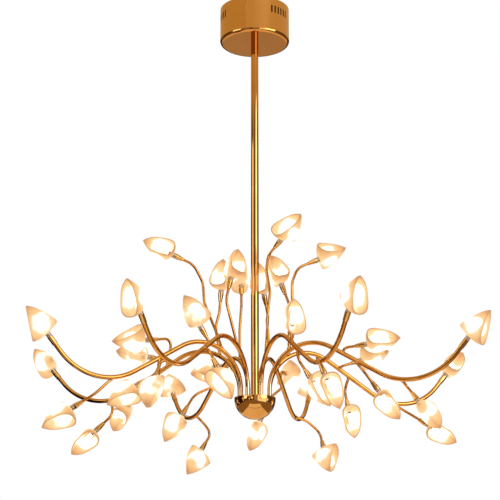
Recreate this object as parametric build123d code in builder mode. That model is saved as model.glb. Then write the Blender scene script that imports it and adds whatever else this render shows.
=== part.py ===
from build123d import *
from math import cos, radians, sin, tan
import os

# Branched ceiling chandelier. Eight tubes rise out of a polished bowl at the foot of a straight rod,
# arch over and sweep up again. Each ends in a lamp and carries four thin stems with a lamp apiece.
# Millimetres, +Z up. The origin is the centre of the ceiling plate's top face, on the ceiling.

# ---- ceiling plate and canopy
canopy_d = 166.0
canopy_h = 88.0
canopy_wall = 1.2
canopy_edge_r = 7.0
canopy_bead_r = 1.5
canopy_gap = 0.4
canopy_turn = 16.0
plate_t = 2.0
plate_slot_pitch = 100.0
plate_slot_w = 5.0
plate_slot_l = 12.0
plate_cable_d = 16.0
tab_w = 18.0
tab_drop = 18.0
vent_count = 6
vent_w = 4.0
vent_h = 19.0
vent_angle = 6.5
vent_top = 18.0
fixings = 3
canopy_screw_d = 4.0
canopy_screw_l = 9.0
canopy_screw_drop = 10.0
canopy_head_d = 7.6
screw_head_t = 1.8
screw_head_r = 0.6

# ---- rod and its fixings
rod_d = 18.0
rod_wall = 1.2
rod_drop = 863.0
nipple_d = 10.0
nipple_bore = 7.0
nipple_out = 3.0
bush_l = 14.0
rod_nut_d = 18.0
hub_nut_d = 28.0
rod_nut_t = 5.0
washer_d = 34.0
washer_t = 2.0
lead_d = 5.5
lead_bend_r = 12.0

# ---- electrical parts
driver_l = 104.0
driver_w = 34.0
driver_h = 24.0
driver_gap = 14.0
driver_edge_r = 3.0
terminal_l = 26.0
terminal_w = 12.0
terminal_h = 14.0
terminal_out = 58.0
joint_block_l = 24.0
joint_block_w = 16.0
joint_block_h = 12.0
joint_block_lift = 4.8
block_edge_r = 3.0
terminal_hole_d = 4.0
terminal_ways = 3

# ---- hub
bowl_d = 93.0
bowl_wall = 1.2
bowl_rim = 2.5
bowl_bead_r = 0.9
hub_t = 3.0
hub_recess = 4.0
hub_gap = 0.3
lug_w = 11.0
lug_t = 4.0
lug_reach = 11.0
hub_screw_d = 3.0
hub_head_d = 4.8
hub_screw_l = 8.0
hub_screw_in = 7.0
lug_arms = (0, 2, 5)

# ---- arms: one bending schedule for all eight
arm_inset = 9.3
arm_d = 10.0
arm_wall = 1.0
arm_foot = 8.0
arm_rise = 17.0
crown_r = 98.0
fall_angle = 31.0
fall_run = 133.0
dip_r = 136.0
rise_angle = 49.0
tip_run = 24.0
arm_nut_d = 13.4
arm_nut_t = 4.0
arm_azimuths = (24.0, 74.0, 115.0, 163.0, 209.0, 243.0, 292.0, 336.0)

# ---- stems
stem_d = 6.0
stem_wall = 0.8
stem_bend_r = 45.0
bend_share = 0.45
stem_stations = (118.0, 256.0, 288.0, 409.0)

# ---- lamp fittings
grip = 6.0
ferrule_l = 20.0
ferrule_d = 12.5
ferrule_lip = 1.0
ferrule_band = 3.0
socket_ring_d = 11.0
socket_ring_l = 8.0
socket_neck_d = 9.0
socket_neck_l = 10.0
socket_spigot = 5.0
bulb_d = 8.6
bulb_l = 25.0
bulb_tip_r = 3.4
glass_nut_d = 15.0
glass_nut_t = 2.5

# ---- glass cup, laid out on the plane of its mouth
glass_l = 78.0
glass_w = 40.0
glass_depth = 60.0
glass_wall = 2.5
glass_tip_angle = 50.0
glass_back_shift = 6.5
glass_lean = 24.0
seat_depth = 33.0
seat_d = 17.0
seat_t = 5.0
seat_cut = 15.0
hole_gap = 0.3
glass_sections = (0, 0.2, 0.4, 0.6, 0.8, 0.95)
glass_length_power = 1.6
glass_width_power = 3
glass_widest = 0.1

rim_z = -(canopy_h + rod_drop)
hub_top = rim_z - hub_recess
hub_bottom = hub_top - hub_t
canopy_inner_r = canopy_d / 2 - canopy_wall
bowl_r = bowl_d / 2
bowl_inner_r = bowl_r - bowl_wall
bowl_floor = rim_z - bowl_rim - bowl_inner_r
arm_circle_r = bowl_inner_r - arm_inset

# How each stem is set: points (outwards, sideways, up) from its station on the arm's centre line,
# the last of them where the ferrule starts, and the turn of the glass about its own axis.
stems = (
    (
        (((10, -3, 95), (5, -12, 175), (14, -25, 208), (40, -29, 220)), 133),
        (((3, -13, 4), (26, -15, 12)), 134),
        (((-2, 21, -28), (-2, 11, -54)), -162),
        (((27, -34, -28), (49, -44, -43)), -142),
    ),
    (
        (((2, -4, 60), (6, -6, 107), (-1, -3, 134)), 86),
        (((-1, -6, 17), (15, -5, 18)), 134),
        (((-15, 33, -30), (-16, 43, -57)), 85),
        (((18, -28, -10), (42, -54, -35), (29, -62, -58)), -176),
    ),
    (
        (((-5, 3, 70), (-8, 0, 128), (5, -6, 160)), -102),
        (((0, -14, 18), (-3, -26, 30), (3, -25, 35), (16, -19, 34)), -60),
        (((2, 48, -24), (9, 62, -50)), 78),
        (((-6, -18, -18), (4, -43, -42), (-1, -27, -65)), 147),
    ),
    (
        (((12, -1, 70), (4, -5, 104), (2, -5, 130)), -2),
        (((0, -1, 15), (17, 7, 18)), 166),
        (((37, 9, -23), (58, -4, -47)), -16),
        (((-12, 25, -40), (7, 30, -59)), -35),
    ),
    (
        (((8, -8, 35), (34, -24, 110), (37, -27, 160), (59, -30, 199), (83, -36, 209)), -2),
        (((3, 3, 29), (27, -9, 27)), 55),
        (((7, 8, -35), (28, -4, -50)), -42),
        (((42, -2, -40), (64, -15, -56)), -35),
    ),
    (
        (((10, -8, 45), (29, -15, 103), (20, -13, 132)), -31),
        (((7, -5, 13),), 83),
        (((12, 19, -6), (12, 30, -27)), 119),
        (((22, -27, 8), (33, -26, -12)), -154),
    ),
    (
        (((-4, -3, 60), (0, 3, 125), (-8, -2, 182), (-18, 6, 216), (-1, 15, 231)), -172),
        (((8, -3, 8),), -85),
        (((-13, 9, -24), (-1, 19, -47)), 95),
        (((26, -14, 8), (30, -8, -10)), 107),
    ),
    (
        (((0, 2, 55), (6, -4, 100), (-6, -4, 131)), -142),
        (((10, -11, 9), (32, -5, 12)), 160),
        (((26, -11, -31), (40, -1, -53)), -176),
        (((-1, 29, -6), (13, 30, -25)), -1),
    ),
)
tip_turns = (160, -173, 144, -143, -119, -98, -71, -91)


def turned(x, angle):
    """The point x outwards and 0 sideways, turned about Z."""
    return (x * cos(radians(angle)), x * sin(radians(angle)))


def save(shape, name):
    shape.label = name
    export_step(shape, f"parts/{name}.step")


def bend_radii(points, largest):
    """The largest bend that each corner of a route leaves room for, up to the given one."""
    radii = []
    for before, corner, after in zip(points, points[1:], points[2:]):
        into, out = corner - before, after - corner
        half = radians(into.get_angle(out)) / 2
        radii.append(min(largest, bend_share * min(into.length, out.length) / tan(half)))
    return radii


os.makedirs("parts", exist_ok=True)

# ================= ceiling plate: a steel disc with three tabs bent down for the canopy's screws
plate_r = canopy_inner_r - canopy_gap
fixing_azimuths = [canopy_turn + 360 / fixings * k for k in range(fixings)]

with BuildPart() as ceiling_plate:
    with BuildSketch(Plane.XY.offset(-plate_t)):
        Circle(plate_r)
        Circle(plate_cable_d / 2, mode=Mode.SUBTRACT)
        with GridLocations(plate_slot_pitch, 0, 2, 1):
            SlotOverall(plate_slot_l, plate_slot_w, mode=Mode.SUBTRACT)
    extrude(amount=plate_t)
    with BuildSketch(Plane.XY.offset(-plate_t)):
        for azimuth in fixing_azimuths:
            with Locations(Location((*turned(plate_r, azimuth), 0), (0, 0, azimuth))):
                Rectangle(2 * tab_w, tab_w)
        Circle(plate_r, mode=Mode.INTERSECT)
        Circle(plate_r - plate_t, mode=Mode.SUBTRACT)
    extrude(amount=-tab_drop)
    for azimuth in fixing_azimuths:
        bore = Plane(
            origin=(*turned(plate_r, azimuth), -canopy_screw_drop),
            z_dir=(*turned(1, azimuth), 0),
        )
        with BuildSketch(bore):
            Circle(canopy_screw_d / 2)
        extrude(amount=-2 * plate_t, mode=Mode.SUBTRACT)
save(ceiling_plate.part, "ceiling_plate")

# ================= canopy: a drawn cup with a rounded foot, a rolled bead, vents and screw holes
with BuildPart() as canopy:
    Cylinder(canopy_d / 2, canopy_h, align=(Align.CENTER, Align.CENTER, Align.MAX))
    fillet(canopy.edges().group_by(Axis.Z)[0], canopy_edge_r)
    offset(amount=-canopy_wall, openings=canopy.faces().sort_by(Axis.Z)[-1])
    with BuildSketch(Plane.XZ):
        with Locations((canopy_d / 2 - canopy_wall / 2, -canopy_h + canopy_edge_r + canopy_bead_r)):
            Circle(canopy_bead_r)
        with Locations((canopy_inner_r, -canopy_h / 2)):
            Rectangle(canopy_bead_r, canopy_h, align=(Align.MIN, Align.CENTER), mode=Mode.INTERSECT)
    revolve(axis=Axis.Z)
    with BuildSketch(Plane.XY.offset(-canopy_h)):
        Circle(nipple_d / 2)
    extrude(amount=canopy_wall, mode=Mode.SUBTRACT)
    for azimuth in fixing_azimuths:
        for k in range(vent_count):
            at = azimuth + 180 / fixings + vent_angle * (k - (vent_count - 1) / 2)
            wall = Plane(
                origin=(*turned(canopy_d / 2, at), -vent_top - vent_h / 2),
                x_dir=(0, 0, 1),
                z_dir=(*turned(1, at), 0),
            )
            with BuildSketch(wall.offset(-2 * canopy_wall)):
                SlotOverall(vent_h, vent_w)
            extrude(amount=4 * canopy_wall, mode=Mode.SUBTRACT)
        bore = Plane(
            origin=(*turned(canopy_d / 2, azimuth), -canopy_screw_drop),
            z_dir=(*turned(1, azimuth), 0),
        )
        with BuildSketch(bore.offset(-2 * canopy_wall)):
            Circle(canopy_screw_d / 2)
        extrude(amount=4 * canopy_wall, mode=Mode.SUBTRACT)
save(canopy.part, "canopy")

with BuildPart() as canopy_screws:
    for azimuth in fixing_azimuths:
        seat = Plane(
            origin=(*turned(canopy_d / 2, azimuth), -canopy_screw_drop),
            z_dir=(*turned(1, azimuth), 0),
        )
        with BuildSketch(seat):
            Circle(canopy_head_d / 2)
        extrude(amount=screw_head_t)
        with BuildSketch(seat):
            Circle(canopy_screw_d / 2)
        extrude(amount=-canopy_screw_l)
    fillet(canopy_screws.edges().filter_by(GeomType.CIRCLE).group_by(SortBy.RADIUS)[-1], screw_head_r)
save(canopy_screws.part, "canopy_screws")

# ================= rod: a straight tube with a threaded bush in its top end
canopy_floor = -canopy_h + canopy_wall
nipple_top = canopy_floor + washer_t + rod_nut_t + nipple_out

with BuildPart() as rod:
    with BuildSketch(Plane.XY.offset(hub_bottom - arm_foot)):
        Circle(rod_d / 2)
        Circle(rod_d / 2 - rod_wall, mode=Mode.SUBTRACT)
    extrude(amount=-canopy_h - (hub_bottom - arm_foot))
save(rod.part, "rod")

with BuildPart() as rod_bush:
    with BuildSketch(Plane.XY.offset(-canopy_h)):
        Circle(rod_d / 2 - rod_wall)
        Circle(nipple_d / 2, mode=Mode.SUBTRACT)
    extrude(amount=-bush_l)
save(rod_bush.part, "rod_bush")

with BuildPart() as rod_nipple:
    with BuildSketch(Plane.XY.offset(nipple_top)):
        Circle(nipple_d / 2)
        Circle(nipple_bore / 2, mode=Mode.SUBTRACT)
    extrude(amount=-canopy_h - bush_l - nipple_top)
save(rod_nipple.part, "rod_nipple")

with BuildPart() as rod_washer:
    with BuildSketch(Plane.XY.offset(canopy_floor)):
        Circle(washer_d / 2)
        Circle(nipple_d / 2, mode=Mode.SUBTRACT)
    extrude(amount=washer_t)
save(rod_washer.part, "rod_washer")

with BuildPart() as rod_nuts:
    with BuildSketch(Plane.XY.offset(canopy_floor + washer_t)):
        RegularPolygon(rod_nut_d / 2, 6, major_radius=False)
        Circle(nipple_d / 2, mode=Mode.SUBTRACT)
    extrude(amount=rod_nut_t)
    with BuildSketch(Plane.XY.offset(hub_bottom)):
        RegularPolygon(hub_nut_d / 2, 6, major_radius=False)
        Circle(rod_d / 2, mode=Mode.SUBTRACT)
    extrude(amount=-rod_nut_t)
save(rod_nuts.part, "rod_nuts")

# ================= drivers and terminal block on the ceiling plate, and the lead down the rod
driver_y = (driver_gap + driver_w) / 2

with BuildPart() as drivers:
    with Locations((0, driver_y, -plate_t), (0, -driver_y, -plate_t)):
        Box(driver_l, driver_w, driver_h, align=(Align.CENTER, Align.CENTER, Align.MAX))
    fillet(drivers.edges().filter_by(Axis.Z), driver_edge_r)
save(drivers.part, "drivers")

with BuildPart() as terminal_block:
    with Locations((terminal_out, 0, -plate_t)):
        Box(terminal_w, terminal_l, terminal_h, align=(Align.CENTER, Align.CENTER, Align.MAX))
    underside = terminal_block.faces().sort_by(Axis.Z)[0]
    with Locations(underside):
        with GridLocations(0, terminal_l / terminal_ways, 1, terminal_ways):
            Hole(terminal_hole_d / 2, depth=terminal_h / 3)
save(terminal_block.part, "terminal_block")

joint_block_top = bowl_floor + joint_block_lift + joint_block_h
lead_turn_z = -(plate_t + driver_h) - lead_d
lead_route = [
    Vector(0, 0, joint_block_top),
    Vector(0, 0, lead_turn_z),
    Vector(terminal_out - terminal_w / 3, 0, lead_turn_z),
    Vector(terminal_out - terminal_w / 3, 0, -plate_t - terminal_h),
]

with BuildPart() as supply_lead:
    with BuildLine() as lead_line:
        FilletPolyline(*lead_route, radius=bend_radii(lead_route, lead_bend_r))
    with BuildSketch(Plane(origin=lead_route[0], z_dir=(0, 0, 1))):
        Circle(lead_d / 2)
    sweep(path=lead_line.wire())
save(supply_lead.part, "supply_lead")

with BuildPart() as joint_block:
    with Locations((0, 0, joint_block_top)):
        Box(joint_block_l, joint_block_w, joint_block_h, align=(Align.CENTER, Align.CENTER, Align.MAX))
    fillet(joint_block.edges().filter_by(Axis.Z), block_edge_r)
save(joint_block.part, "joint_block")

# ================= hub: the plate that carries the arms, and the spun bowl that hangs under it
lug_azimuths = [(arm_azimuths[k] + arm_azimuths[k + 1]) / 2 for k in lug_arms]
hub_screw_r = bowl_inner_r - hub_screw_in

with BuildPart() as hub_plate:
    with BuildSketch(Plane.XY.offset(hub_bottom)):
        Circle(bowl_inner_r - hub_gap)
        Circle(rod_d / 2, mode=Mode.SUBTRACT)
        for azimuth in arm_azimuths:
            with Locations(turned(arm_circle_r, azimuth)):
                Circle(arm_d / 2, mode=Mode.SUBTRACT)
        for azimuth in lug_azimuths:
            with Locations(turned(hub_screw_r, azimuth)):
                Circle(hub_screw_d / 2, mode=Mode.SUBTRACT)
    extrude(amount=hub_t)
save(hub_plate.part, "hub_plate")

with BuildPart() as bowl_cavity:
    with BuildSketch(Plane.XZ):
        with Locations((0, rim_z - bowl_rim)):
            Circle(bowl_inner_r)
            Rectangle(bowl_inner_r, bowl_rim, align=(Align.MIN, Align.MIN))
        with Locations((0, rim_z)):
            Rectangle(bowl_d, bowl_d, align=(Align.MIN, Align.MAX), mode=Mode.INTERSECT)
    revolve(axis=Axis.Z)

with BuildPart() as bowl:
    with BuildSketch(Plane.XZ):
        with Locations((0, rim_z - bowl_rim)):
            Circle(bowl_r)
            Rectangle(bowl_r, bowl_rim, align=(Align.MIN, Align.MIN))
        with Locations((0, rim_z)):
            Rectangle(bowl_d, bowl_d, align=(Align.MIN, Align.MAX), mode=Mode.INTERSECT)
        with Locations((bowl_r - bowl_wall / 2, rim_z - bowl_bead_r)):
            Circle(bowl_bead_r)
    revolve(axis=Axis.Z)
    add(bowl_cavity.part, mode=Mode.SUBTRACT)
save(bowl.part, "bowl")

with BuildPart() as bowl_lugs:
    with BuildSketch(Plane.XY.offset(hub_bottom)):
        for azimuth in lug_azimuths:
            with Locations(Location((*turned(bowl_inner_r, azimuth), 0), (0, 0, azimuth))):
                Rectangle(2 * lug_reach, lug_w)
    extrude(amount=-lug_t)
    add(bowl_cavity.part, mode=Mode.INTERSECT)
    with BuildSketch(Plane.XY.offset(hub_bottom)):
        for azimuth in lug_azimuths:
            with Locations(turned(hub_screw_r, azimuth)):
                Circle(hub_screw_d / 2)
    extrude(amount=-lug_t, mode=Mode.SUBTRACT)
save(bowl_lugs.part, "bowl_lugs")

with BuildPart() as hub_screws:
    for azimuth in lug_azimuths:
        with BuildSketch(Plane.XY.offset(hub_top)):
            with Locations(turned(hub_screw_r, azimuth)):
                Circle(hub_head_d / 2)
        extrude(amount=screw_head_t)
        with BuildSketch(Plane.XY.offset(hub_top)):
            with Locations(turned(hub_screw_r, azimuth)):
                Circle(hub_screw_d / 2)
        extrude(amount=-hub_screw_l)
save(hub_screws.part, "hub_screws")

with BuildPart() as arm_nuts:
    with BuildSketch(Plane.XY.offset(hub_bottom)):
        for azimuth in arm_azimuths:
            with Locations(turned(arm_circle_r, azimuth)):
                Circle(arm_nut_d / 2)
                Circle(arm_d / 2, mode=Mode.SUBTRACT)
    extrude(amount=-arm_nut_t)
save(arm_nuts.part, "arm_nuts")

# ================= arms: bent tube, drawn once in its own upright plane (X outwards, Z up, rim at 0)
foot_z = hub_bottom - rim_z - arm_foot

with BuildPart() as arm_core:
    with BuildLine(Plane.XZ) as arm_line:
        foot = Line((arm_circle_r, foot_z), (arm_circle_r, arm_rise))
        crown = JernArc(start=foot @ 1, tangent=foot % 1, radius=crown_r, arc_size=-90 - fall_angle)
        fall = PolarLine(crown @ 1, fall_run, angle=-fall_angle)
        dip = JernArc(start=fall @ 1, tangent=fall % 1, radius=dip_r, arc_size=fall_angle + rise_angle)
        tip = PolarLine(dip @ 1, tip_run, angle=rise_angle)
    with BuildSketch(Plane.XY.offset(foot_z)):
        with Locations((arm_circle_r, 0)):
            Circle(arm_d / 2)
    sweep(path=arm_line.wire())

with BuildPart() as arm_bore:
    with BuildSketch(Plane.XY.offset(foot_z)):
        with Locations((arm_circle_r, 0)):
            Circle(arm_d / 2 - arm_wall)
    sweep(path=arm_line.wire())

with BuildPart() as arm_tube:
    add(arm_core.part)
    add(arm_bore.part, mode=Mode.SUBTRACT)

# ================= lamp fittings, drawn once on their own axis (Z along the lamp, 0 at the ferrule's foot)
glass_seat_z = ferrule_l + socket_ring_l
bulb_seat_z = glass_seat_z + socket_neck_l


def make_ferrule(tube_d):
    """A turned brass cone that grips a tube's end and holds the socket."""
    with BuildPart() as ferrule:
        with BuildSketch(Plane.XZ):
            with BuildLine():
                Polyline(
                    (tube_d / 2, 0),
                    (tube_d / 2 + ferrule_lip, 0),
                    (ferrule_d / 2, ferrule_l - ferrule_band),
                    (ferrule_d / 2, ferrule_l),
                    (socket_neck_d / 2, ferrule_l),
                    (socket_neck_d / 2, ferrule_l - socket_spigot),
                    (tube_d / 2 - ferrule_lip, ferrule_l - socket_spigot),
                    (tube_d / 2 - ferrule_lip, grip),
                    (tube_d / 2, grip),
                    close=True,
                )
            make_face()
        revolve(axis=Axis.Z)
    return ferrule.part


stem_ferrule = make_ferrule(stem_d)
tip_ferrule = make_ferrule(arm_d)

with BuildPart() as socket:
    with BuildSketch(Plane.XY.offset(ferrule_l - socket_spigot)):
        Circle(socket_neck_d / 2)
    extrude(amount=socket_spigot + socket_ring_l + socket_neck_l)
    with BuildSketch(Plane.XY.offset(ferrule_l)):
        Circle(socket_ring_d / 2)
    extrude(amount=socket_ring_l)

with BuildPart() as bulb:
    with BuildSketch(Plane.XY.offset(bulb_seat_z)):
        Circle(bulb_d / 2)
    extrude(amount=bulb_l)
    fillet(bulb.edges().group_by(Axis.Z)[-1], bulb_tip_r)

with BuildPart() as glass_nut:
    with BuildSketch(Plane.XY.offset(glass_seat_z + seat_t)):
        Circle(glass_nut_d / 2)
        Circle(socket_neck_d / 2, mode=Mode.SUBTRACT)
    extrude(amount=glass_nut_t)

# ================= glass cup: sections parallel to the mouth, almond at the mouth and rounder behind it
along = Vector(-sin(radians(glass_lean)), 0, cos(radians(glass_lean)))
inwards = Vector(-cos(radians(glass_lean)), 0, -sin(radians(glass_lean)))


def half_length(share, wall):
    return (glass_l / 2 - wall) * (1 - share**glass_length_power)


def back_shift(share):
    return glass_l / 2 - glass_back_shift * share


seat_share = seat_depth / glass_depth
seat_along = back_shift(seat_share) - half_length(seat_share, 0)
mouth = Vector(0, 0, glass_seat_z) - along * seat_along - inwards * seat_depth


def glass_body(wall):
    """The solid inside the cup's outer face, or its hollow when given the wall's thickness."""
    depth = glass_depth - wall
    with BuildPart() as body:
        for share in glass_sections:
            reach = half_length(share, wall)
            side = (glass_w / 2 - wall) * (1 - share**glass_width_power)
            middle = back_shift(share)
            turn = radians(glass_tip_angle + (90 - glass_tip_angle) * share)
            section = Plane(origin=mouth + inwards * depth * share, x_dir=along, z_dir=inwards)
            with BuildSketch(section):
                with BuildLine():
                    Spline(
                        (middle + reach, 0),
                        (middle - glass_widest * reach, side),
                        (middle - reach, 0),
                        tangents=((-cos(turn), sin(turn)), (0, -1)),
                    )
                    mirror(about=Plane.XZ)
                make_face()
        loft()
    return body.part


with BuildPart() as glass:
    add(glass_body(0))
    add(glass_body(glass_wall), mode=Mode.SUBTRACT)
    with BuildSketch(Plane.XY.offset(glass_seat_z - seat_t)):
        Circle(seat_d / 2)
    extrude(amount=seat_cut, mode=Mode.SUBTRACT)
    with BuildSketch(Plane.XY.offset(glass_seat_z)):
        Circle(seat_d / 2)
        Circle(socket_neck_d / 2 + hole_gap, mode=Mode.SUBTRACT)
    extrude(amount=seat_t)

# ================= stems and lamps of each arm, set out on the arm drawn at azimuth 0
stem_ferrules, tip_ferrules, bulbs, glass_nuts = [], [], [], []
for number, (azimuth, stem_set, tip_turn) in enumerate(zip(arm_azimuths, stems, tip_turns), 1):
    routes = []
    lamp_places = []
    for (points, turn), station in zip(stem_set, stem_stations):
        start = arm_line.wire().position_at(station - foot_z, position_mode=PositionMode.LENGTH)
        route = [start] + [start + Vector(*point) for point in points]
        heading = (route[-1] - route[-2]).normalized()
        lamp_places.append((route[-1], heading, turn))
        route[-1] = route[-1] + heading * grip
        routes.append(route)
    arm_end = arm_line.wire() @ 1
    arm_heading = arm_line.wire() % 1
    lamp_places.append((arm_end - arm_heading * grip, arm_heading, tip_turn))

    with BuildPart() as branches:
        for route in routes:
            with BuildLine() as centre:
                if len(route) > 2:
                    FilletPolyline(*route, radius=bend_radii(route, stem_bend_r))
                else:
                    Line(*route)
            with BuildSketch(Plane(origin=route[0], z_dir=route[1] - route[0])):
                Circle(stem_d / 2)
                Circle(stem_d / 2 - stem_wall, mode=Mode.SUBTRACT)
            sweep(path=centre.wire())
        add(arm_core.part, mode=Mode.SUBTRACT)

    lamps = []
    for place, heading, turn in lamp_places:
        sideways = (Vector(0, 1, 0) - heading * heading.Y).normalized()
        upright = Plane(origin=place, x_dir=sideways, z_dir=heading).location
        lamps.append(upright * Rotation(0, 0, turn))
    on_hub = Location((0, 0, rim_z), (0, 0, azimuth))
    lamps = [on_hub * lamp for lamp in lamps]
    save(Compound(children=[on_hub * arm_tube.part]), f"arm_{number}_tube")
    save(Compound(children=[on_hub * stem for stem in branches.part.solids()]), f"arm_{number}_stems")
    save(Compound(children=[lamp * socket.part for lamp in lamps]), f"arm_{number}_sockets")
    save(Compound(children=[lamp * glass.part for lamp in lamps]), f"arm_{number}_glasses")
    stem_ferrules += [lamp * stem_ferrule for lamp in lamps[:-1]]
    tip_ferrules.append(lamps[-1] * tip_ferrule)
    bulbs += [lamp * bulb.part for lamp in lamps]
    glass_nuts += [lamp * glass_nut.part for lamp in lamps]

save(Compound(children=stem_ferrules), "stem_ferrules")
save(Compound(children=tip_ferrules), "tip_ferrules")
save(Compound(children=bulbs), "bulbs")
save(Compound(children=glass_nuts), "glass_nuts")
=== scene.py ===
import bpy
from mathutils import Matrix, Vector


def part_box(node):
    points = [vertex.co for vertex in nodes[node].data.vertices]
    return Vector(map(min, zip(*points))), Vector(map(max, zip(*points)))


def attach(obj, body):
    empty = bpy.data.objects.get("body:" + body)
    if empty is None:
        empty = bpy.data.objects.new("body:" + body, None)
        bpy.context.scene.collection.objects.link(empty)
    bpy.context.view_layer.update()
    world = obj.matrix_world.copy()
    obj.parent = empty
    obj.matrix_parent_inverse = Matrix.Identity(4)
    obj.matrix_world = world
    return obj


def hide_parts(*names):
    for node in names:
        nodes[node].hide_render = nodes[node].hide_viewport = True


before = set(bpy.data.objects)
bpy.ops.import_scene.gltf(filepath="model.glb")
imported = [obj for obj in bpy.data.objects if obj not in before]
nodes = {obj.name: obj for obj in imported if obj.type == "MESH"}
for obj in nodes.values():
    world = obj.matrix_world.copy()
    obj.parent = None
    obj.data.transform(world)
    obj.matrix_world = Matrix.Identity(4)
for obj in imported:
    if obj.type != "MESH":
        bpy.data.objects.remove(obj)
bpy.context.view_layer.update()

import math

import bmesh
import bpy
from mathutils import Matrix, Vector
from mathutils.bvhtree import BVHTree

scene = bpy.context.scene

# ---- Camera: a long lens at about head height, below the hanging light and tilted up at it. All the
# branches stand in front of white, and the canopy is cut off at its top.
rim_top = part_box("bowl")[1].z
lens_angle = 18.85
lens_tilt = 16.02
lens_turn = 0.38
lens_aside, lens_away, lens_below_rim = 0.011, 3.354, 0.616
camera = bpy.data.cameras.new("camera")
camera.sensor_fit = "HORIZONTAL"
camera.angle = math.radians(lens_angle)
camera.clip_end = 60
viewpoint = bpy.data.objects.new("camera", camera)
viewpoint.location = (lens_aside, -lens_away, rim_top - lens_below_rim)
viewpoint.rotation_euler = (math.radians(90 + lens_tilt), 0, math.radians(lens_turn))
scene.collection.objects.link(viewpoint)
scene.camera = viewpoint
scene.view_settings.view_transform = "Standard"

# ---- Room: white all round, with a weak bluish fill on matt things, a matt pale floor and three large
# soft lamps. The lamp below lights the undersides and isn't seen in the brass.
fill_colour = (0.95, 0.96, 1)
fill_strength = 0.35
lamps_aim_above_rim = 0.2
floor_half = 40
floor_below_rim = 1.75
floor_colour = (0.86, 0.85, 0.84)
floor_lift_colour = (1, 0.99, 0.97)
floor_lift = 0.34


def wire(tree, start, end):
    tree.links.new(start, end)


def either(tree, one_ray, other_ray):
    """A switch that is 1 for either of two kinds of ray."""
    switch = tree.nodes.new("ShaderNodeMath")
    switch.operation = "MAXIMUM"
    wire(tree, one_ray, switch.inputs[0])
    wire(tree, other_ray, switch.inputs[1])
    return switch.outputs[0]


def background(tree, colour, strength):
    glow = tree.nodes.new("ShaderNodeBackground")
    glow.inputs["Color"].default_value = (*colour, 1)
    glow.inputs["Strength"].default_value = strength
    return glow.outputs[0]


def white_room():
    """White to the eye, through glass and in reflections, and only the fill on everything else."""
    world = bpy.data.worlds.new("white_room")
    world.use_nodes = True
    tree = world.node_tree
    tree.nodes.clear()
    ray = tree.nodes.new("ShaderNodeLightPath").outputs
    seen = either(tree, ray["Is Camera Ray"], ray["Is Transmission Ray"])
    pick = tree.nodes.new("ShaderNodeMixShader")
    wire(tree, either(tree, seen, ray["Is Glossy Ray"]), pick.inputs["Fac"])
    wire(tree, background(tree, fill_colour, fill_strength), pick.inputs[1])
    wire(tree, background(tree, (1, 1, 1), 1.0), pick.inputs[2])
    out = tree.nodes.new("ShaderNodeOutputWorld")
    wire(tree, pick.outputs[0], out.inputs["Surface"])
    scene.world = world


def soft_lamp(name, x, y, above_rim, size, power, mirrored=True):
    lamp = bpy.data.lights.new(name, "AREA")
    lamp.shape = "RECTANGLE"
    lamp.size, lamp.size_y = size
    lamp.energy = power
    place = Vector((x, y, rim_top + above_rim))
    aim = Vector((0, 0, rim_top + lamps_aim_above_rim))
    holder = bpy.data.objects.new(name, lamp)
    holder.location = place
    holder.rotation_euler = (aim - place).to_track_quat("-Z", "Y").to_euler()
    holder.visible_glossy = mirrored
    scene.collection.objects.link(holder)


def pale_floor():
    """A matt pale floor, lifted a little where it is looked at, and clear when seen from below."""
    finish = bpy.data.materials.new("pale_floor")
    finish.use_nodes = True
    tree = finish.node_tree
    matt = tree.nodes["Principled BSDF"]
    matt.inputs["Base Color"].default_value = (*floor_colour, 1)
    matt.inputs["Roughness"].default_value = 0.9
    matt.inputs["Emission Color"].default_value = (*floor_lift_colour, 1)
    ray = tree.nodes.new("ShaderNodeLightPath")
    lift = tree.nodes.new("ShaderNodeMath")
    lift.operation = "MULTIPLY"
    lift.inputs[1].default_value = floor_lift
    wire(tree, ray.outputs["Is Camera Ray"], lift.inputs[0])
    wire(tree, lift.outputs[0], matt.inputs["Emission Strength"])
    side = tree.nodes.new("ShaderNodeNewGeometry")
    clear = tree.nodes.new("ShaderNodeBsdfTransparent")
    pick = tree.nodes.new("ShaderNodeMixShader")
    wire(tree, side.outputs["Backfacing"], pick.inputs["Fac"])
    wire(tree, matt.outputs[0], pick.inputs[1])
    wire(tree, clear.outputs[0], pick.inputs[2])
    wire(tree, pick.outputs[0], tree.nodes["Material Output"].inputs["Surface"])
    return finish


white_room()
soft_lamp("lamp_right", 3.2, -2.6, 1.2, size=(2.6, 2.2), power=38)
soft_lamp("lamp_left", -3.4, -2.0, 0.9, size=(2.0, 2.2), power=26)
soft_lamp("lamp_below", 0.2, -1.2, -1.6, size=(1.8, 1.2), power=12, mirrored=False)

floor_shape = bmesh.new()
bmesh.ops.create_grid(floor_shape, x_segments=1, y_segments=1, size=floor_half)
bmesh.ops.translate(floor_shape, verts=floor_shape.verts, vec=(0, 0, rim_top - floor_below_rim))
floor_mesh = bpy.data.meshes.new("floor")
floor_shape.to_mesh(floor_mesh)
floor_shape.free()
floor_mesh.materials.append(pale_floor())
floor = bpy.data.objects.new("floor", floor_mesh)
scene.collection.objects.link(floor)
floor.visible_glossy = False

# ---- What the brass reflects: cards that only reflections show. A lit carpet lies on a dark floor between
# brown walls, with a bright window and its blind at the front right, a shelf at the front left, and a
# ceiling in three tones with a skylight. Two black mats by the left-hand arms give those their dark lines.
room, ceiling, ground = 7.0, 3.5, -1.76
layer = 0.01
mat_black = (0.02, 0.01, 0.005)


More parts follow.
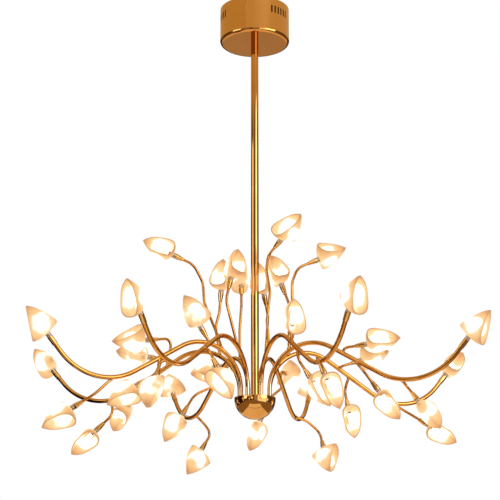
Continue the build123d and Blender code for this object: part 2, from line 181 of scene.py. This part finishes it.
def reflecting_panel(name, corners, colour, strength=1.0):
    """A flat card that only reflections show, its corners given from the middle of the bowl's rim."""
    shape = bmesh.new()
    card_corners = [shape.verts.new((x, y, rim_top + z)) for x, y, z in corners]
    shape.faces.new(card_corners)
    mesh = bpy.data.meshes.new(name)
    shape.to_mesh(mesh)
    shape.free()
    panel = bpy.data.objects.new(name, mesh)
    scene.collection.objects.link(panel)
    card = bpy.data.materials.new(name)
    card.use_nodes = True
    tree = card.node_tree
    tree.nodes.clear()
    glow = tree.nodes.new("ShaderNodeEmission")
    glow.inputs["Color"].default_value = (*colour, 1)
    glow.inputs["Strength"].default_value = strength
    out = tree.nodes.new("ShaderNodeOutputMaterial")
    wire(tree, glow.outputs[0], out.inputs["Surface"])
    mesh.materials.append(card)
    panel.visible_camera = False
    panel.visible_diffuse = False
    panel.visible_transmission = False
    panel.visible_shadow = False


def level_panel(name, front, back, front_half, back_half, height, colour, strength=1.0, middle=0.0):
    """A level card between two distances, front and back, with its half width at each."""
    corners = (
        (middle - front_half, front, height), (middle + front_half, front, height),
        (middle + back_half, back, height), (middle - back_half, back, height),
    )
    reflecting_panel(name, corners, colour, strength)


def wall_panel(name, start, end, low, high, colour, strength=1.0):
    """An upright card over the line from start to end, each (x, y)."""
    reflecting_panel(name, ((*start, low), (*end, low), (*end, high), (*start, high)), colour, strength)


# Level cards: front, back, half width at each, height, colour and strength. Upright cards: x and y of
# both ends, low and high edge, colour and strength.
level_panel("panel_floor", -room, room, room, room, ground, (0.26, 0.15, 0.07))
level_panel("panel_floor_back", 5.0, room, room, room, ground + layer, (0.42, 0.3, 0.2))
level_panel("panel_carpet", -0.9, 4.99, 1.4, 2.4, ground + 2 * layer, (0.86, 0.66, 0.42))
level_panel("panel_carpet_seam", -1.05, -0.9, 1.4, 1.4, ground + 2 * layer, (0.42, 0.3, 0.18))
level_panel("panel_carpet_front", -2.3, -1.05, 1.5, 1.4, ground + 2 * layer, (0.9, 0.72, 0.48))
level_panel("panel_mat", -0.3, 0.4, 0.13, 0.13, -0.1, mat_black, middle=-0.47)
wall_panel("panel_mat_side", (-0.66, -0.35), (-0.66, 0.35), -0.2, 0.12, mat_black)
level_panel("panel_ceiling", -room, room, room, room, ceiling, (0.6, 0.45, 0.25))
level_panel("panel_ceiling_left", -room, room, 2.1, 2.1, ceiling - layer, (0.54, 0.385, 0.17), middle=-4.9)
level_panel("panel_ceiling_half", -6.0, -2.2, 2.1, 2.1, ceiling - layer, (0.635, 0.49, 0.31), middle=2.3)
level_panel(
    "panel_ceiling_right", -6.0, -2.2, 1.2, 1.2, ceiling - 1.5 * layer, (0.67, 0.53, 0.37), middle=2.8,
)
level_panel("panel_skylight", -3.4, -1.6, 1.1, 1.1, ceiling - 2 * layer, (1.0, 0.95, 0.85), 1.5)
wall_panel("panel_back", (room, room), (-room, room), ground, ceiling, (0.06, 0.042, 0.03))
wall_panel("panel_front_left", (-room, -room), (-0.6, -room), ground, ceiling, (0.06, 0.04, 0.025))
wall_panel("panel_front_right", (-0.6, -room), (room, -room), ground, ceiling, (0.38, 0.29, 0.21))
wall_panel("panel_shelf", (-4.6, -4.6), (-2.0, -6.2), 0.7, 1.5, (1.0, 0.93, 0.82))
wall_panel("panel_left", (-room, room), (-room, -room), ground, ceiling, (0.08, 0.045, 0.02))
wall_panel("panel_right", (room, -room), (room, room), ground, ceiling, (0.1, 0.07, 0.045))
wall_panel("panel_window", (1.6, -5.6), (5.2, -2.0), -2.0, 1.6, (1.0, 0.96, 0.88), 1.4)
wall_panel("panel_blind", (1.6, -5.6), (5.2, -2.0), 1.6, 2.6, (1.0, 0.86, 0.66))

# ---- Canopy: a drawn brass cup with a rolled bead above its rounded foot, polished and lacquered, so that
# it is faintly clouded and has hair-fine polishing lines round it. Three brass screws in its side hold it
# to tabs on the ceiling plate.
tone_edges = (0.35, 0.65)
haze_per_cloud = 2
gloss_wander = (0.75, 1.3)
polish_lines = (2, 2, 900)
relief_depth = 0.0002


def new_finish(name):
    finish = bpy.data.materials.new(name)
    finish.use_nodes = True
    tree = finish.node_tree
    return finish, tree, tree.nodes["Principled BSDF"]


def clouding(tree, scale, detail, stretch=None):
    """Noise that is fixed to the piece, stretched where it makes lines."""
    place = tree.nodes.new("ShaderNodeTexCoord").outputs["Object"]
    if stretch:
        drawn = tree.nodes.new("ShaderNodeMapping")
        drawn.inputs["Scale"].default_value = stretch
        wire(tree, place, drawn.inputs["Vector"])
        place = drawn.outputs["Vector"]
    noise = tree.nodes.new("ShaderNodeTexNoise")
    noise.inputs["Scale"].default_value = scale
    noise.inputs["Detail"].default_value = detail
    wire(tree, place, noise.inputs["Vector"])
    return noise.outputs["Fac"]


def ranged(tree, value, first, last, start=0.0, end=1.0):
    """Turns a value that runs from start to end into one from first to last."""
    span = tree.nodes.new("ShaderNodeMapRange")
    span.inputs["From Min"].default_value = start
    span.inputs["From Max"].default_value = end
    span.inputs["To Min"].default_value = first
    span.inputs["To Max"].default_value = last
    wire(tree, value, span.inputs["Value"])
    return span.outputs["Result"]


def relief(tree, surface, height, strength):
    bump = tree.nodes.new("ShaderNodeBump")
    bump.inputs["Strength"].default_value = strength
    bump.inputs["Distance"].default_value = relief_depth
    wire(tree, height, bump.inputs["Height"])
    wire(tree, bump.outputs["Normal"], surface.inputs["Normal"])


def clouded_metal(name, light, dark, roughness, cloud_scale, line_strength=0.0):
    """Polished metal: two tones clouded together, a gloss that wanders a little, and fine lines."""
    finish, tree, surface = new_finish(name)
    tone = tree.nodes.new("ShaderNodeValToRGB")
    for element, position, colour in zip(tone.color_ramp.elements, tone_edges, (dark, light)):
        element.position = position
        element.color = (*colour, 1)
    wire(tree, clouding(tree, cloud_scale, detail=4), tone.inputs["Fac"])
    wire(tree, tone.outputs["Color"], surface.inputs["Base Color"])
    haze = clouding(tree, haze_per_cloud * cloud_scale, detail=0)
    smoothest, hazy = (share * roughness for share in gloss_wander)
    wire(tree, ranged(tree, haze, smoothest, hazy), surface.inputs["Roughness"])
    surface.inputs["Metallic"].default_value = 1.0
    if line_strength:
        relief(tree, surface, clouding(tree, 1.0, detail=6, stretch=polish_lines), line_strength)
    return finish


def dress(node, finish):
    """Gives a CAD node its finish."""
    mesh = nodes[node].data
    mesh.materials.clear()
    mesh.materials.append(finish)


canopy_brass = clouded_metal(
    "canopy_brass", light=(0.85, 0.44, 0.13), dark=(0.8, 0.39, 0.105), roughness=0.1, cloud_scale=6,
    line_strength=0.02,
)
screw_brass = clouded_metal(
    "screw_brass", light=(0.8, 0.5, 0.2), dark=(0.7, 0.38, 0.12), roughness=0.18, cloud_scale=60,
)
dress("canopy", canopy_brass)
dress("canopy_screws", screw_brass)

# ---- Rod: a straight brass tube, drawn, and polished along its length. A hollow nipple screwed into its
# top hangs it from the canopy's floor, and a nut on its foot carries the hub plate.
rod_brass = clouded_metal(
    "rod_brass", light=(0.8, 0.41, 0.12), dark=(0.72, 0.34, 0.09), roughness=0.05, cloud_scale=12,
)
dress("rod", rod_brass)

# ---- Bowl and hub plate: the bowl is spun from brass sheet and polished to a mirror. The plate in its
# mouth, cut from thicker brass, carries the arms, and three screws through it hold the bowl by its lugs.
bowl_brass = clouded_metal(
    "bowl_brass", light=(0.86, 0.5, 0.18), dark=(0.8, 0.43, 0.14), roughness=0.05, cloud_scale=20,
    line_strength=0.02,
)
for node in ("bowl", "hub_plate"):
    dress(node, bowl_brass)

# ---- Arms and stems: brass tubes, bent cold. The arms' feet go through the hub plate and are clamped by
# nuts under it, and a painted reflection of the bright glasses round the hub makes the brass paler there.
# The stems are brazed to the arms and polished over.
# Painted reflection: the arms' feet are blended towards a pale cream near the hub.
foot_reflection_tone = (0.98, 0.81, 0.62)
foot_reflection_share = 0.74
foot_near, foot_far = 0.032, 0.075


def toned(tree, clouded, tone, share):
    """A colour blended towards one plain tone by a share that varies over the piece."""
    share_in, clouded_in, tone_in, colour_out = 0, 6, 7, 2
    blend = tree.nodes.new("ShaderNodeMix")
    blend.data_type = "RGBA"
    blend.inputs[tone_in].default_value = (*tone, 1)
    wire(tree, share, blend.inputs[share_in])
    wire(tree, clouded, blend.inputs[clouded_in])
    return blend.outputs[colour_out]


def paint_foot_reflection(finish):
    """Paints a pale reflection onto a clouded brass, growing towards the middle of the bowl's rim."""
    tree = finish.node_tree
    base = tree.nodes["Principled BSDF"].inputs["Base Color"]
    clouded = base.links[0].from_socket
    place = tree.nodes.new("ShaderNodeTexCoord")
    from_hub = tree.nodes.new("ShaderNodeVectorMath")
    from_hub.operation = "DISTANCE"
    from_hub.inputs[1].default_value = (0, 0, rim_top)
    wire(tree, place.outputs["Object"], from_hub.inputs[0])
    fade = ranged(tree, from_hub.outputs["Value"], foot_reflection_share, 0.0, foot_near, foot_far)
    wire(tree, toned(tree, clouded, foot_reflection_tone, fade), base)


arm_brass = clouded_metal(
    "arm_brass", light=(0.82, 0.41, 0.1), dark=(0.67, 0.3, 0.058), roughness=0.04, cloud_scale=25,
)
paint_foot_reflection(arm_brass)
stem_brass = clouded_metal(
    "stem_brass", light=(0.78, 0.38, 0.09), dark=(0.62, 0.27, 0.05), roughness=0.05, cloud_scale=40,
)
arms = [name for name in sorted(nodes) if name.endswith("_tube")]
for arm in arms:
    dress(arm, arm_brass)
    dress(arm.replace("tube", "stems"), stem_brass)

# ---- Brazing: where a stem leaves its arm, filler metal has run into a small flared collar. It is filed
# and polished with the tubes, and its hue is a little paler than theirs.
stem_radius = 0.003
collar_flare = 0.0016
collar_proud = 0.00005
collar_length = 0.0045
collar_sunk = 0.0012
collar_sides = 20
braze_reach = 0.0012
past_saddle = 3 * stem_radius
ring_depth = 2 * stem_radius
weld_gap = 1e-5


def merged_copy(node):
    """A CAD node's triangles joined into one closed mesh, to measure or reshape."""
    shape = bmesh.new()
    shape.from_mesh(nodes[node].data)
    bmesh.ops.remove_doubles(shape, verts=shape.verts, dist=weld_gap)
    return shape


def bodies_of(shape):
    """The separate bodies of a mesh, each a list of its vertices."""
    left = set(shape.verts)
    bodies = []
    for start in shape.verts:
        if start not in left:
            continue
        left.remove(start)
        stack, body = [start], []
        while stack:
            vert = stack.pop()
            body.append(vert)
            for edge in vert.link_edges:
                other = edge.other_vert(vert)
                if other in left:
                    left.remove(other)
                    stack.append(other)
        bodies.append(body)
    return bodies


def middle_of(points):
    return sum(points, Vector()) / len(points)


def add_piece(name, shape, finish, stands_for=None):
    """Puts a finished mesh in the scene as a piece of the light."""
    for face in shape.faces:
        face.smooth = True
    mesh = bpy.data.meshes.new(name)
    shape.to_mesh(mesh)
    shape.free()
    mesh.materials.append(finish)
    piece = bpy.data.objects.new(name, mesh)
    scene.collection.objects.link(piece)
    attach(piece, "root")
    if stands_for:
        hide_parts(stands_for)


def foot_and_heading(stem, tube_skin):
    """Where a stem meets its arm, and the way that it leaves it."""
    brazed = [v.co for v in stem if tube_skin.find_nearest(v.co)[3] < braze_reach]
    foot = middle_of(brazed)
    beyond = [v.co for v in stem if (v.co - foot).length > past_saddle]
    ring_end = min((point - foot).length for point in beyond) + ring_depth
    return foot, middle_of([point for point in beyond if (point - foot).length < ring_end]) - foot


collars = bmesh.new()
for arm in arms:
    tube_shape = merged_copy(arm)
    tube_skin = BVHTree.FromBMesh(tube_shape)
    tube_shape.free()
    stem_shape = merged_copy(arm.replace("tube", "stems"))
    for stem in bodies_of(stem_shape):
        foot, heading = foot_and_heading(stem, tube_skin)
        ring = bmesh.ops.create_cone(
            collars, cap_ends=False, segments=collar_sides, radius1=stem_radius + collar_flare,
            radius2=stem_radius + collar_proud, depth=collar_length,
        )["verts"]
        turn = heading.to_track_quat("Z", "Y").to_matrix()
        bmesh.ops.rotate(collars, verts=ring, cent=(0, 0, 0), matrix=turn)
        centre = foot + heading.normalized() * (0.5 * collar_length - collar_sunk)
        bmesh.ops.translate(collars, verts=ring, vec=centre)
    stem_shape.free()
braze_brass = clouded_metal(
    "braze_brass", light=(0.9, 0.58, 0.24), dark=(0.82, 0.48, 0.17), roughness=0.2, cloud_scale=90,
)
add_piece("braze_collars", collars, braze_brass)

# ---- Ferrules: cones turned from brass bar, lacquered like the tubes. Each grips the end of a stem or of
# an arm, and a socket sits in its wide end.
ferrule_brass = clouded_metal(
    "ferrule_brass", light=(0.9, 0.56, 0.2), dark=(0.8, 0.44, 0.14), roughness=0.12, cloud_scale=60,
)
for node in ("stem_ferrules", "tip_ferrules"):
    dress(node, ferrule_brass)

# ---- Sockets and glass nuts: nickel-plated steel. The ring under each glass is crimped on and has three
# rolled beads round it, and the plating between them is rougher and darkened with painted shade. A round
# nut clamps the glass from inside.
bead_ring_radius = 0.0055
bead_radius = 0.0008
bead_sides = 8
bead_steps = 24
bead_spacing = 0.0026
beads_below_nut = 0.01025


def middles(node):
    """The middle of each body of a CAD node."""
    shape = merged_copy(node)
    found = [middle_of([v.co.copy() for v in body]) for body in bodies_of(shape)]
    shape.free()
    return found


def nearest(points, place):
    return min(points, key=lambda point: (point - place).length)


def rolled_bead():
    """One bead, a thin ring round the socket's own axis."""
    shape = bmesh.new()
    section = bmesh.ops.create_circle(shape, segments=bead_sides, radius=bead_radius)["verts"]
    upright = Matrix.Rotation(math.radians(90), 3, "X")
    bmesh.ops.rotate(shape, verts=section, cent=(0, 0, 0), matrix=upright)
    bmesh.ops.translate(shape, verts=section, vec=(bead_ring_radius, 0, 0))
    bmesh.ops.spin(
        shape, geom=shape.verts[:] + shape.edges[:], cent=(0, 0, 0), axis=(0, 0, 1),
        angle=math.radians(360), steps=bead_steps, use_merge=True,
    )
    bmesh.ops.recalc_face_normals(shape, faces=shape.faces)
    mesh = bpy.data.meshes.new("rolled_bead")
    shape.to_mesh(mesh)
    shape.free()
    return mesh


# Painted shade: the sockets' plating is darkened to stand for the shade between the beads.
dull_nickel_shaded = clouded_metal(
    "dull_nickel_shaded", light=(0.5, 0.42, 0.36), dark=(0.34, 0.28, 0.23), roughness=0.25, cloud_scale=80,
)
bright_nickel = clouded_metal(
    "bright_nickel", light=(0.9, 0.85, 0.8), dark=(0.78, 0.71, 0.64), roughness=0.12, cloud_scale=80,
)
for arm in arms:
    dress(arm.replace("tube", "sockets"), dull_nickel_shaded)
dress("glass_nuts", bright_nickel)

bulb_middles = middles("bulbs")
nut_middles = middles("glass_nuts")
bead_mesh = rolled_bead()
beads = bmesh.new()
for bulb in bulb_middles:
    nut = nearest(nut_middles, bulb)
    heading = (bulb - nut).normalized()
    for step in (-1, 0, 1):
        first = len(beads.verts)
        beads.from_mesh(bead_mesh)
        beads.verts.ensure_lookup_table()
        centre = nut - heading * (beads_below_nut + step * bead_spacing)
        place = Matrix.Translation(centre) @ heading.to_track_quat("Z", "Y").to_matrix().to_4x4()
        bmesh.ops.transform(beads, matrix=place, verts=beads.verts[first:])
add_piece("socket_beads", beads, bright_nickel)

# ---- Bulbs: clear quartz capsules on two pins, pushed into the sockets. They are lit, and the glare of
# their filaments fills them with warm white.
bulb_glow = 4


def lit_capsule():
    finish, tree, surface = new_finish("lit_capsule")
    surface.inputs["Base Color"].default_value = (1, 0.96, 0.9, 1)
    surface.inputs["Roughness"].default_value = 0.15
    surface.inputs["Emission Color"].default_value = (1, 0.9, 0.72, 1)
    surface.inputs["Emission Strength"].default_value = bulb_glow
    return finish


dress("bulbs", lit_capsule())

# ---- Glasses: pressed glass cups in the outline of a leaf, frosted, with fire-polished rims, each clamped
# over its socket. The bulb's light on them is a painted glow: white round the socket, then peach and then
# grey brown towards the leaf's tip, and the rims away from the bulb carry a painted shade.
glow_back = 0.003
glow_reach = 0.06
sharp_edge = math.radians(40)
rim_round = 0.0007
# Painted shade on the rims: a brown that the rims take on farther from the bulb.
rim_shade = (0.48, 0.25, 0.11)
rim_shade_from, rim_shade_full = 0.36, 0.76
# Painted glow: the colours that the bulb's light gives the glass, by distance from the bulb over
# glow_reach.
glow_stops = (
    (0.0, (1.5, 1.5, 1.4)),
    (0.39, (1.3, 1.25, 1.1)),
    (0.44, (0.9, 0.6, 0.3)),
    (0.58, (0.8, 0.43, 0.17)),
    (0.74, (0.46, 0.2, 0.085)),
)
glow_clouds = 40
glow_drift = 0.05
cloud_low, cloud_high = 0.3, 0.7


def glow_centre(cup_middle):
    """The brightest point in a cup: in its bulb, a little back from the bulb's middle."""
    bulb = nearest(bulb_middles, cup_middle)
    nut = nearest(nut_middles, bulb)
    return bulb - (bulb - nut).normalized() * glow_back


def own_value(tree, name):
    """A value that the piece's mesh carries at each of its points."""
    value = tree.nodes.new("ShaderNodeAttribute")
    value.attribute_name = name
    return value.outputs["Fac"]


def frosted_glass():
    """Frosted glass with the bulb's light painted on as a glow: it falls off from the bulb, and wanders a
    little.
    """
    finish, tree, surface = new_finish("frosted_glass")
    sway = tree.nodes.new("ShaderNodeMath")
    clouds = clouding(tree, glow_clouds, detail=1)
    drift = ranged(tree, clouds, -glow_drift, glow_drift, cloud_low, cloud_high)
    wire(tree, own_value(tree, "from_bulb"), sway.inputs[0])
    wire(tree, drift, sway.inputs[1])
    ramp = tree.nodes.new("ShaderNodeValToRGB")
    while len(ramp.color_ramp.elements) < len(glow_stops):
        ramp.color_ramp.elements.new(0.5)
    for element, (position, colour) in zip(ramp.color_ramp.elements, glow_stops):
        element.position = position
        element.color = (*colour, 1)
    wire(tree, sway.outputs[0], ramp.inputs["Fac"])
    glow = toned(tree, ramp.outputs["Color"], rim_shade, own_value(tree, "at_rim"))
    # The painted glow goes into the emission, so the glass shines though it is no lamp.
    wire(tree, glow, surface.inputs["Emission Color"])
    surface.inputs["Emission Strength"].default_value = 1.0
    surface.inputs["Specular IOR Level"].default_value = 0.3
    surface.inputs["Base Color"].default_value = (0.2, 0.13, 0.07, 1)
    surface.inputs["Roughness"].default_value = 0.3
    return finish


glass_finish = frosted_glass()
for arm in arms:
    node = arm.replace("tube", "glasses")
    cups = merged_copy(node)
    from_bulb = cups.verts.layers.float.new("from_bulb")
    at_rim = cups.verts.layers.float.new("at_rim")
    for body in bodies_of(cups):
        bright = glow_centre(middle_of([v.co for v in body]))
        for vert in body:
            vert[from_bulb] = min(1.0, (vert.co - bright).length / glow_reach)
    # Rims far from the bulb get the painted shade, by a share that grows with the distance from the bulb.
    rims = [edge for edge in cups.edges if edge.is_manifold and edge.calc_face_angle() > sharp_edge]
    for edge in rims:
        for vert in edge.verts:
            share = (vert[from_bulb] - rim_shade_from) / (rim_shade_full - rim_shade_from)
            vert[at_rim] = min(1.0, max(0.0, share))
    bmesh.ops.bevel(
        cups, geom=rims, offset=rim_round, offset_type="OFFSET", segments=2, profile=0.5,
        affect="EDGES", clamp_overlap=True, material=-1,
    )
    add_piece(node + "_frosted", cups, glass_finish, stands_for=node)

# ---- Ceiling plate, lugs, nuts, screws, nipple, bush and washer: pressed or turned steel, zinc-plated,
# dull and slightly blue. They hold the light to the ceiling and its pieces to each other, out of sight.
zinc_steel = clouded_metal(
    "zinc_steel", light=(0.62, 0.63, 0.66), dark=(0.5, 0.51, 0.54), roughness=0.35, cloud_scale=30,
)
for node in (
    "ceiling_plate", "bowl_lugs", "hub_screws", "arm_nuts",
    "rod_nipple", "rod_bush", "rod_washer", "rod_nuts",
):
    dress(node, zinc_steel)

# ---- Drivers, terminal block, joint block and supply lead: moulded plastics with a fine grain, black on
# the drivers' cases and off-white on the rest. The drivers and the terminal block are fixed under the
# ceiling plate, and the lead runs down the rod to the joint block.
block_white = (0.86, 0.84, 0.78)
grain_strength = 0.2


def moulded(name, colour, roughness, grain):
    finish, tree, surface = new_finish(name)
    surface.inputs["Base Color"].default_value = (*colour, 1)
    surface.inputs["Roughness"].default_value = roughness
    relief(tree, surface, clouding(tree, grain, detail=2), grain_strength)
    return finish


dress("drivers", moulded("driver_case", (0.03, 0.03, 0.032), roughness=0.5, grain=900))
dress("terminal_block", moulded("terminal_nylon", block_white, roughness=0.45, grain=700))
dress("joint_block", moulded("joint_nylon", block_white, roughness=0.45, grain=700))
dress("supply_lead", moulded("lead_sheath", (0.8, 0.78, 0.72), roughness=0.4, grain=300))
